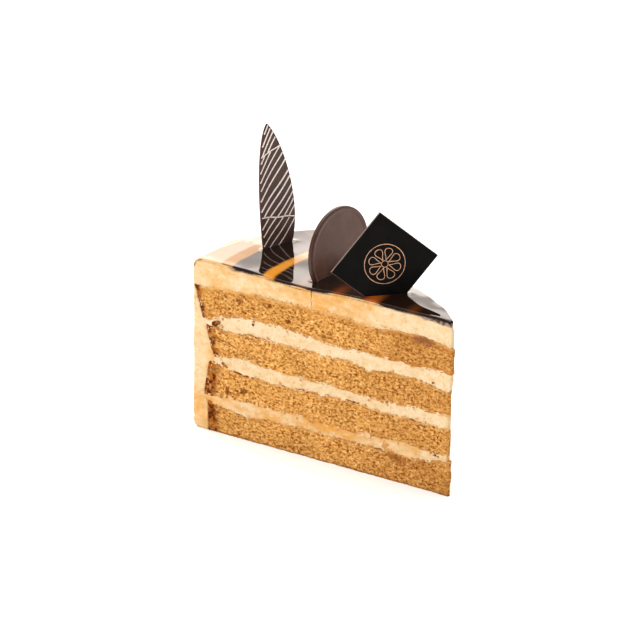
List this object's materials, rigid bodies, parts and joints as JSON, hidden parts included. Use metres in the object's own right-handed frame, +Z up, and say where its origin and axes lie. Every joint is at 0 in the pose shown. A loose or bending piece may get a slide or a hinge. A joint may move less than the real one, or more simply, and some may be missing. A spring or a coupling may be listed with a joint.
{
  "type": "mocha cake slice",
  "caption": "Wedge of mocha layer cake: coffee sponge and cream layers, marbled mirror glaze, and an upright chocolate leaf, disc and square plaque.",
  "frame": {"origin": "middle of the slice's box, on the surface it stands on", "axes": "+Z up; +X along the slice's middle line towards its tip; the cut face that the picture shows looks towards -Y"},
  "size_m": [0.1212, 0.0682, 0.1226],
  "materials": {
    "sponge": "open crumb of baked coffee sponge, matte",
    "cream": "soft mocha cream, satin",
    "glaze": "mirror glaze, dark chocolate marbled with caramel and pale cream",
    "leaf_chocolate": "dark chocolate with fine pale lines, satin",
    "disc_chocolate": "milk chocolate, satin",
    "plaque_chocolate": "black chocolate, satin"
  },
  "bodies": {
    "root": {"sponge_1": "sponge", "filling_1": "cream", "sponge_2": "sponge", "filling_2": "cream", "sponge_3": "sponge", "filling_3": "cream", "sponge_4": "sponge", "frosting": "cream", "glaze": "glaze", "leaf": "leaf_chocolate", "disc": "disc_chocolate", "plaque": "plaque_chocolate"}
  },
  "joints": []
}
